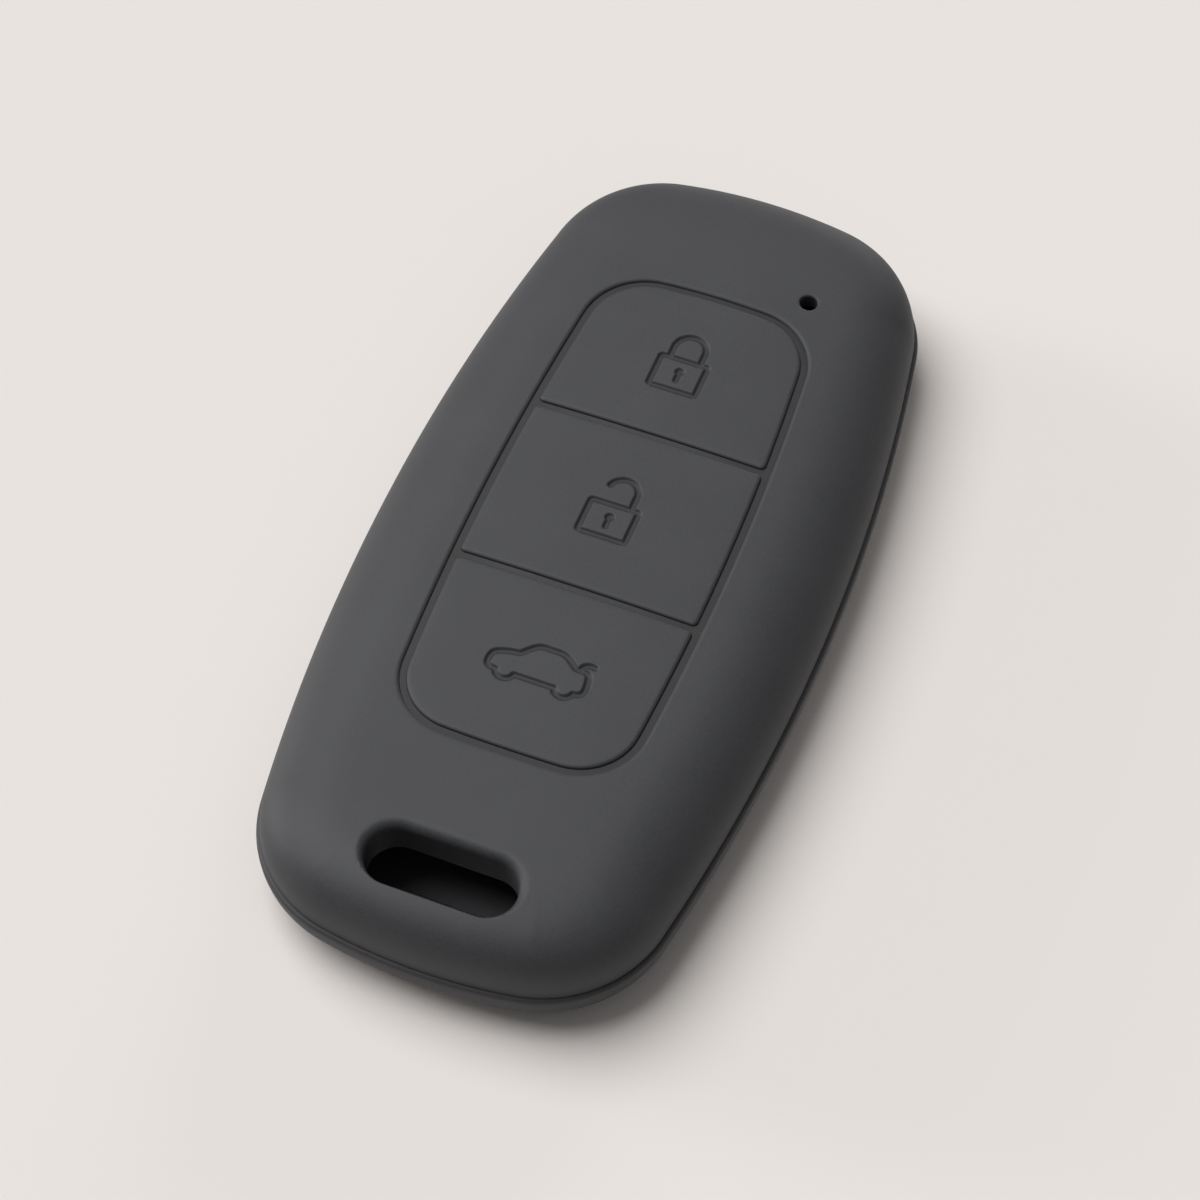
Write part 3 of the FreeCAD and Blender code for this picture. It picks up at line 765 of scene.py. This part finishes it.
def stroke_depth(icons, strokes, plan):
    """Depth of the pictogram at plan points: full inside a stroke, with a soft slope at its edge."""
    gap = np.full(len(plan), 1.0)
    for points, half_width in strokes:
        for start, end in zip(points, points[1:]):
            start, along = np.array(start), np.array(end) - np.array(start)
            share = np.clip((plan - start) @ along / max(along @ along, DOT), 0.0, 1.0)
            away = plan - start - share[:, None] * along
            gap = np.minimum(gap, np.hypot(away[:, 0], away[:, 1]) - half_width)
    share = np.clip(0.5 - gap / icons.wall, 0.0, 1.0)
    return icons.depth * share ** 2 * (3 - 2 * share)


def grid_border(bm):
    """Loop of a new grid's outer vertices, anticlockwise from its lower right corner."""
    start = min(bm.verts, key=lambda vert: vert.co.y - vert.co.x)
    border = [start]
    edge = max((edge for edge in start.link_edges), key=lambda edge: edge.other_vert(start).co.y)
    while True:
        vert = edge.other_vert(border[-1])
        if vert is start:
            return border
        border.append(vert)
        edge = next(other for other in vert.link_edges if other.is_boundary and other is not edge)


def make_pad(node, shell, pads, icons):
    """One push pad with its pictogram and its plunger."""
    strokes = car(icons) if node == "trunk_button" else padlock(icons, node == "unlock_button")
    low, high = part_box(node)
    middle = np.array((0.0, (low.y + high.y) / 2))
    points = np.vstack([np.array(chain) for chain, half_width in strokes])
    corner, opposite = points.min(0) - icons.border, points.max(0) + icons.border
    columns, rows = (int(count) for count in np.ceil((opposite - corner) / icons.step))
    bm = bmesh.new()
    bmesh.ops.create_grid(bm, x_segments=columns, y_segments=rows, size=0.5)
    plan = corner + (plan_of(bm.verts) + 0.5) * (opposite - corner)
    depth = stroke_depth(icons, strokes, plan)
    plan += middle
    place(bm.verts, raised(plan, crown_height(shell, plan[:, 0]) - depth))
    border = grid_border(bm)
    across = (len(border) - 2 * rows) // 2
    steps = [rows - PAD_CORNER_STEPS, PAD_CORNER_STEPS, across - PAD_CORNER_STEPS, PAD_CORNER_STEPS] * 2
    outline = pad_outline(pads, node, 0.0)

    def rim(inset):
        return np.roll(outline.trace(steps, inset), PAD_CORNER_STEPS // 2, axis=0)

    stations = []
    start, edge = plan_of(border), rim(pads.lip)
    for share in np.linspace(0.0, 1.0, PAD_TOP_STEPS + 1)[1:]:
        plan = start + (edge - start) * share
        stations.append(raised(plan, crown_height(shell, plan[:, 0])))
    stations += lip_stations(shell, pads, rim)
    underside = shell.top_height - pads.pad_thickness
    plunger = Capsule(0.0, middle[1], 2 * pads.plunger_radius, 2 * pads.plunger_radius).ring(rim(0.0), 0.0)
    stations += [raised(rim(0.0), underside), raised(plunger, underside), raised(plunger, low.z)]
    cap(bm, loft(bm, border, stations)[-1])
    return bm


def surface_group():
    """Node group for moulded silicone: tone, grain, the grain's relief, and a mask of recesses in the top,
    where shade is painted.
    """
    group = bpy.data.node_groups.new("silicone_surface", "ShaderNodeTree")
    sockets = {
        "INPUT": ("Vector", "Grain Size", "Mottle Size", "Relief", "Top Height", "Crown"),
        "OUTPUT": ("Tone", "Grain", "Normal", "Painted Shade"),
    }
    for side, names in sockets.items():
        for name in names:
            kind = "NodeSocketVector" if name in ("Vector", "Normal") else "NodeSocketFloat"
            group.interface.new_socket(name, in_out=side, socket_type=kind)
    nodes, links = group.nodes, group.links
    inputs, outputs = nodes.new("NodeGroupInput"), nodes.new("NodeGroupOutput")

    def calculate(operation, first, second):
        node = nodes.new("ShaderNodeMath")
        node.operation = operation
        for socket, value in zip(node.inputs, (first, second)):
            if isinstance(value, float):
                socket.default_value = value
            else:
                links.new(value, socket)
        return node.outputs[0]

    noises = {}
    for name, detail in (("Grain", 3.0), ("Mottle", 4.0)):
        noise = nodes.new("ShaderNodeTexNoise")
        noise.inputs["Detail"].default_value = detail
        links.new(inputs.outputs["Vector"], noise.inputs["Vector"])
        links.new(calculate("DIVIDE", 1.0, inputs.outputs[name + " Size"]), noise.inputs["Scale"])
        noises[name] = noise.outputs["Fac"]
    tone = nodes.new("ShaderNodeMix")
    tone.inputs["Factor"].default_value = GRAIN_SHARE
    links.new(noises["Mottle"], tone.inputs["A"])
    links.new(noises["Grain"], tone.inputs["B"])
    links.new(tone.outputs["Result"], outputs.inputs["Tone"])
    links.new(noises["Grain"], outputs.inputs["Grain"])
    bump = nodes.new("ShaderNodeBump")
    bump.inputs["Strength"].default_value = 1.0
    links.new(inputs.outputs["Relief"], bump.inputs["Distance"])
    links.new(noises["Grain"], bump.inputs["Height"])
    links.new(bump.outputs["Normal"], outputs.inputs["Normal"])
    spot = nodes.new("ShaderNodeSeparateXYZ")
    links.new(inputs.outputs["Vector"], spot.inputs["Vector"])
    fall = calculate("MULTIPLY", calculate("POWER", spot.outputs["X"], 2.0), inputs.outputs["Crown"])
    top = calculate("SUBTRACT", inputs.outputs["Top Height"], calculate("MULTIPLY", fall, 0.5))
    depth = calculate("SUBTRACT", top, spot.outputs["Z"])
    shade_mask = nodes.new("ShaderNodeValToRGB")
    for millimetres, share in PAINTED_SHADE_DEPTHS[1:-1]:
        shade_mask.color_ramp.elements.new(millimetres)
    for element, (millimetres, share) in zip(shade_mask.color_ramp.elements, PAINTED_SHADE_DEPTHS):
        element.position = millimetres
        element.color = (share, share, share, 1.0)
    links.new(calculate("DIVIDE", depth, MM), shade_mask.inputs["Fac"])
    links.new(shade_mask.outputs["Color"], outputs.inputs["Painted Shade"])
    return group


def silicone(name, finish, painted_shade, shell=None):
    """Matte silicone in the cover's two greys, darkened by a painted shade factor, with painted shade in the
    recesses below a shell's top.
    """
    material = bpy.data.materials.new(name)
    material.use_nodes = True
    nodes, links = material.node_tree.nodes, material.node_tree.links
    shader = nodes["Principled BSDF"]
    shader.inputs["Specular IOR Level"].default_value = SPECULAR_LEVEL
    coordinates = nodes.new("ShaderNodeTexCoord")
    surface = nodes.new("ShaderNodeGroup")
    surface.node_tree = bpy.data.node_groups.get("silicone_surface") or surface_group()
    surface.inputs["Grain Size"].default_value = finish.grain_size
    surface.inputs["Mottle Size"].default_value = finish.mottle_size
    surface.inputs["Relief"].default_value = finish.relief
    links.new(coordinates.outputs["Object"], surface.inputs["Vector"])
    tones = nodes.new("ShaderNodeValToRGB")
    greys = (finish.silicone, finish.silicone_pale)
    for element, tone, grey in zip(tones.color_ramp.elements, TONES, greys):
        element.position = tone
        # A painted shade below 1 darkens both greys, standing for shadow
        element.color = (*(channel * painted_shade for channel in grey), 1.0)
    links.new(surface.outputs["Tone"], tones.inputs["Fac"])
    links.new(tones.outputs["Color"], shader.inputs["Base Color"])
    # Painted shade: below the shell's top the colour turns darker, standing for the shadow in the pictograms
    # and beside the grooves
    if shell:
        surface.inputs["Top Height"].default_value = shell.top_height
        surface.inputs["Crown"].default_value = shell.crown
        shade_mix = nodes.new("ShaderNodeMix")
        shade_mix.data_type = "RGBA"
        shade_mix.inputs["B"].default_value = (*finish.painted_recess_shade, 1.0)
        links.new(surface.outputs["Painted Shade"], shade_mix.inputs["Factor"])
        links.new(tones.outputs["Color"], shade_mix.inputs["A"])
        links.new(shade_mix.outputs["Result"], shader.inputs["Base Color"])
    gloss = nodes.new("ShaderNodeMapRange")
    gloss.inputs["To Min"].default_value, gloss.inputs["To Max"].default_value = ROUGHNESS
    links.new(surface.outputs["Grain"], gloss.inputs["Value"])
    links.new(gloss.outputs["Result"], shader.inputs["Roughness"])
    links.new(surface.outputs["Normal"], shader.inputs["Normal"])
    return material


def add_piece(bm, name, node, body, material):
    """Turns a finished bmesh into a piece that stands for its CAD node."""
    bmesh.ops.recalc_face_normals(bm, faces=bm.faces)
    mesh = bpy.data.meshes.new(name)
    bm.to_mesh(mesh)
    bm.free()
    mesh.shade_smooth()
    mesh.set_sharp_from_angle(angle=SHARP_ANGLE)
    mesh.materials.append(material)
    piece = bpy.data.objects.new(name, mesh)
    bpy.context.scene.collection.objects.link(piece)
    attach(piece, body)
    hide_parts(node)
    return piece


class FOBCOVER_OT_front_shell(Operator):
    """Builds the front shell"""

    bl_idname = "fobcover.front_shell"
    bl_label = "Front Shell"

    def execute(self, context):
        scene = context.scene
        bm = make_front_shell(scene.fob_shell, scene.fob_openings, scene.fob_pads)
        add_piece(bm, "moulded_front", "front_shell", "front",
                  silicone("front_silicone", scene.fob_finish, 1.0))
        return {"FINISHED"}


class FOBCOVER_OT_rear_shell(Operator):
    """Builds the rear tray"""

    bl_idname = "fobcover.rear_shell"
    bl_label = "Rear Tray"

    def execute(self, context):
        scene = context.scene
        bm = make_rear_shell(scene.fob_shell, scene.fob_openings)
        add_piece(bm, "moulded_tray", "rear_shell", "rear",
                  silicone("rear_silicone", scene.fob_finish, 1.0))
        return {"FINISHED"}


class FOBCOVER_OT_keypad_web(Operator):
    """Builds the web round the pads"""

    bl_idname = "fobcover.keypad_web"
    bl_label = "Keypad Web"

    def execute(self, context):
        scene = context.scene
        bm = make_keypad_web(scene.fob_shell, scene.fob_pads)
        # The web's silicone is darkened by a painted shade, standing for the shadow on the groove's floor
        add_piece(bm, "moulded_web", "keypad_web", "front",
                  silicone("web_silicone", scene.fob_finish, WEB_PAINTED_SHADE))
        return {"FINISHED"}


class FOBCOVER_OT_push_pads(Operator):
    """Builds the three push pads"""

    bl_idname = "fobcover.push_pads"
    bl_label = "Push Pads"

    def execute(self, context):
        scene = context.scene
        # The pads' silicone gets painted shade in the pictograms and on the lower part of their rims
        material = silicone("button_silicone", scene.fob_finish, 1.0, scene.fob_shell)
        for node, body in PAD_BODIES.items():
            bm = make_pad(node, scene.fob_shell, scene.fob_pads, scene.fob_icons)
            add_piece(bm, "moulded_" + body, node, body, material)
        return {"FINISHED"}


def direction(turn, rise):
    """Unit vector towards what stands at a turn round the cover and a rise above the floor."""
    return Vector((math.sin(turn) * math.cos(rise), -math.cos(turn) * math.cos(rise), math.sin(rise)))


def add_lamp(name, azimuth, elevation, strength, spread):
    """Soft sun lamp that shines from a direction, with angles in degrees."""
    lamp = bpy.data.lights.new(name, "SUN")
    lamp.energy = strength
    lamp.angle = math.radians(spread)
    carrier = bpy.data.objects.new(name, lamp)
    source = direction(math.radians(azimuth), math.radians(elevation))
    carrier.rotation_euler = source.to_track_quat("Z", "Y").to_euler()
    bpy.context.scene.collection.objects.link(carrier)


class FOBCOVER_OT_stage(Operator):
    """Sets the camera, the pale floor and the soft light"""

    bl_idname = "fobcover.stage"
    bl_label = "Stage"

    def execute(self, context):
        scene = context.scene
        stage = scene.fob_stage
        turn, roll = stage.azimuth, stage.roll
        back = direction(turn, stage.elevation)
        level = Vector((math.cos(turn), math.sin(turn), 0.0))
        upright = back.cross(level)
        right = level * math.cos(roll) + upright * math.sin(roll)
        up = upright * math.cos(roll) - level * math.sin(roll)
        target = Vector((0.0, stage.target_y, stage.target_z))
        lens = bpy.data.cameras.new("camera")
        lens.sensor_width = SENSOR_WIDTH
        lens.lens = stage.lens
        lens.clip_start = NEAREST
        camera = bpy.data.objects.new("camera", lens)
        axes = Matrix((right, up, back)).transposed().to_4x4()
        camera.matrix_world = Matrix.Translation(target + back * stage.distance) @ axes
        scene.collection.objects.link(camera)
        scene.camera = camera
        bm = bmesh.new()
        bmesh.ops.create_grid(bm, x_segments=1, y_segments=1, size=FLOOR_REACH)
        mesh = bpy.data.meshes.new("floor")
        bm.to_mesh(mesh)
        bm.free()
        floor = bpy.data.objects.new("floor", mesh)
        scene.collection.objects.link(floor)
        paper = bpy.data.materials.new("pale_floor")
        paper.use_nodes = True
        shader = paper.node_tree.nodes["Principled BSDF"]
        shader.inputs["Base Color"].default_value = (*stage.floor_colour, 1.0)
        shader.inputs["Roughness"].default_value = FLOOR_ROUGHNESS
        shader.inputs["Specular IOR Level"].default_value = FLOOR_SPECULAR
        mesh.materials.append(paper)
        world = bpy.data.worlds.new("soft_room")
        world.use_nodes = True
        nodes, links = world.node_tree.nodes, world.node_tree.links
        room = nodes.new("ShaderNodeMix")
        room.data_type = "RGBA"
        room.inputs["A"].default_value = (stage.ambient, stage.ambient, stage.ambient, 1.0)
        room.inputs["B"].default_value = (*stage.floor_colour, 1.0)
        links.new(nodes.new("ShaderNodeLightPath").outputs["Is Camera Ray"], room.inputs["Factor"])
        links.new(room.outputs["Result"], nodes["Background"].inputs["Color"])
        scene.world = world
        for lamp in LAMPS:
            add_lamp(*lamp)
        scene.view_settings.view_transform = "Standard"
        return {"FINISHED"}


OPERATORS = (FOBCOVER_OT_front_shell, FOBCOVER_OT_rear_shell, FOBCOVER_OT_keypad_web, FOBCOVER_OT_push_pads,
             FOBCOVER_OT_stage)
GROUPS = {"fob_shell": ShellSizes, "fob_openings": OpeningSizes, "fob_pads": PadSizes, "fob_icons": IconSizes,
          "fob_finish": FinishValues, "fob_stage": StageValues}


class FOBCOVER_PT_sidebar(Panel):
    """Sizes, colours and build buttons of the key fob cover"""

    bl_label = "Key Fob Cover"
    bl_space_type = "VIEW_3D"
    bl_region_type = "UI"
    bl_category = "Key Fob Cover"

    def draw(self, context):
        for operator in OPERATORS:
            self.layout.operator(operator.bl_idname)
        for name, group in GROUPS.items():
            box = self.layout.box()
            box.label(text=group.__doc__.rstrip("."))
            for field in group.__annotations__:
                box.prop(getattr(context.scene, name), field)


CLASSES = (*GROUPS.values(), *OPERATORS, FOBCOVER_PT_sidebar)


def register():
    for item in CLASSES:
        bpy.utils.register_class(item)
    for name, group in GROUPS.items():
        setattr(bpy.types.Scene, name, PointerProperty(type=group))


def unregister():
    for name in GROUPS:
        delattr(bpy.types.Scene, name)
    for item in reversed(CLASSES):
        bpy.utils.unregister_class(item)


def main():
    register()
    bpy.ops.fobcover.front_shell()
    bpy.ops.fobcover.rear_shell()
    bpy.ops.fobcover.keypad_web()
    bpy.ops.fobcover.push_pads()
    bpy.ops.fobcover.stage()


if __name__ == "__main__":
    main()
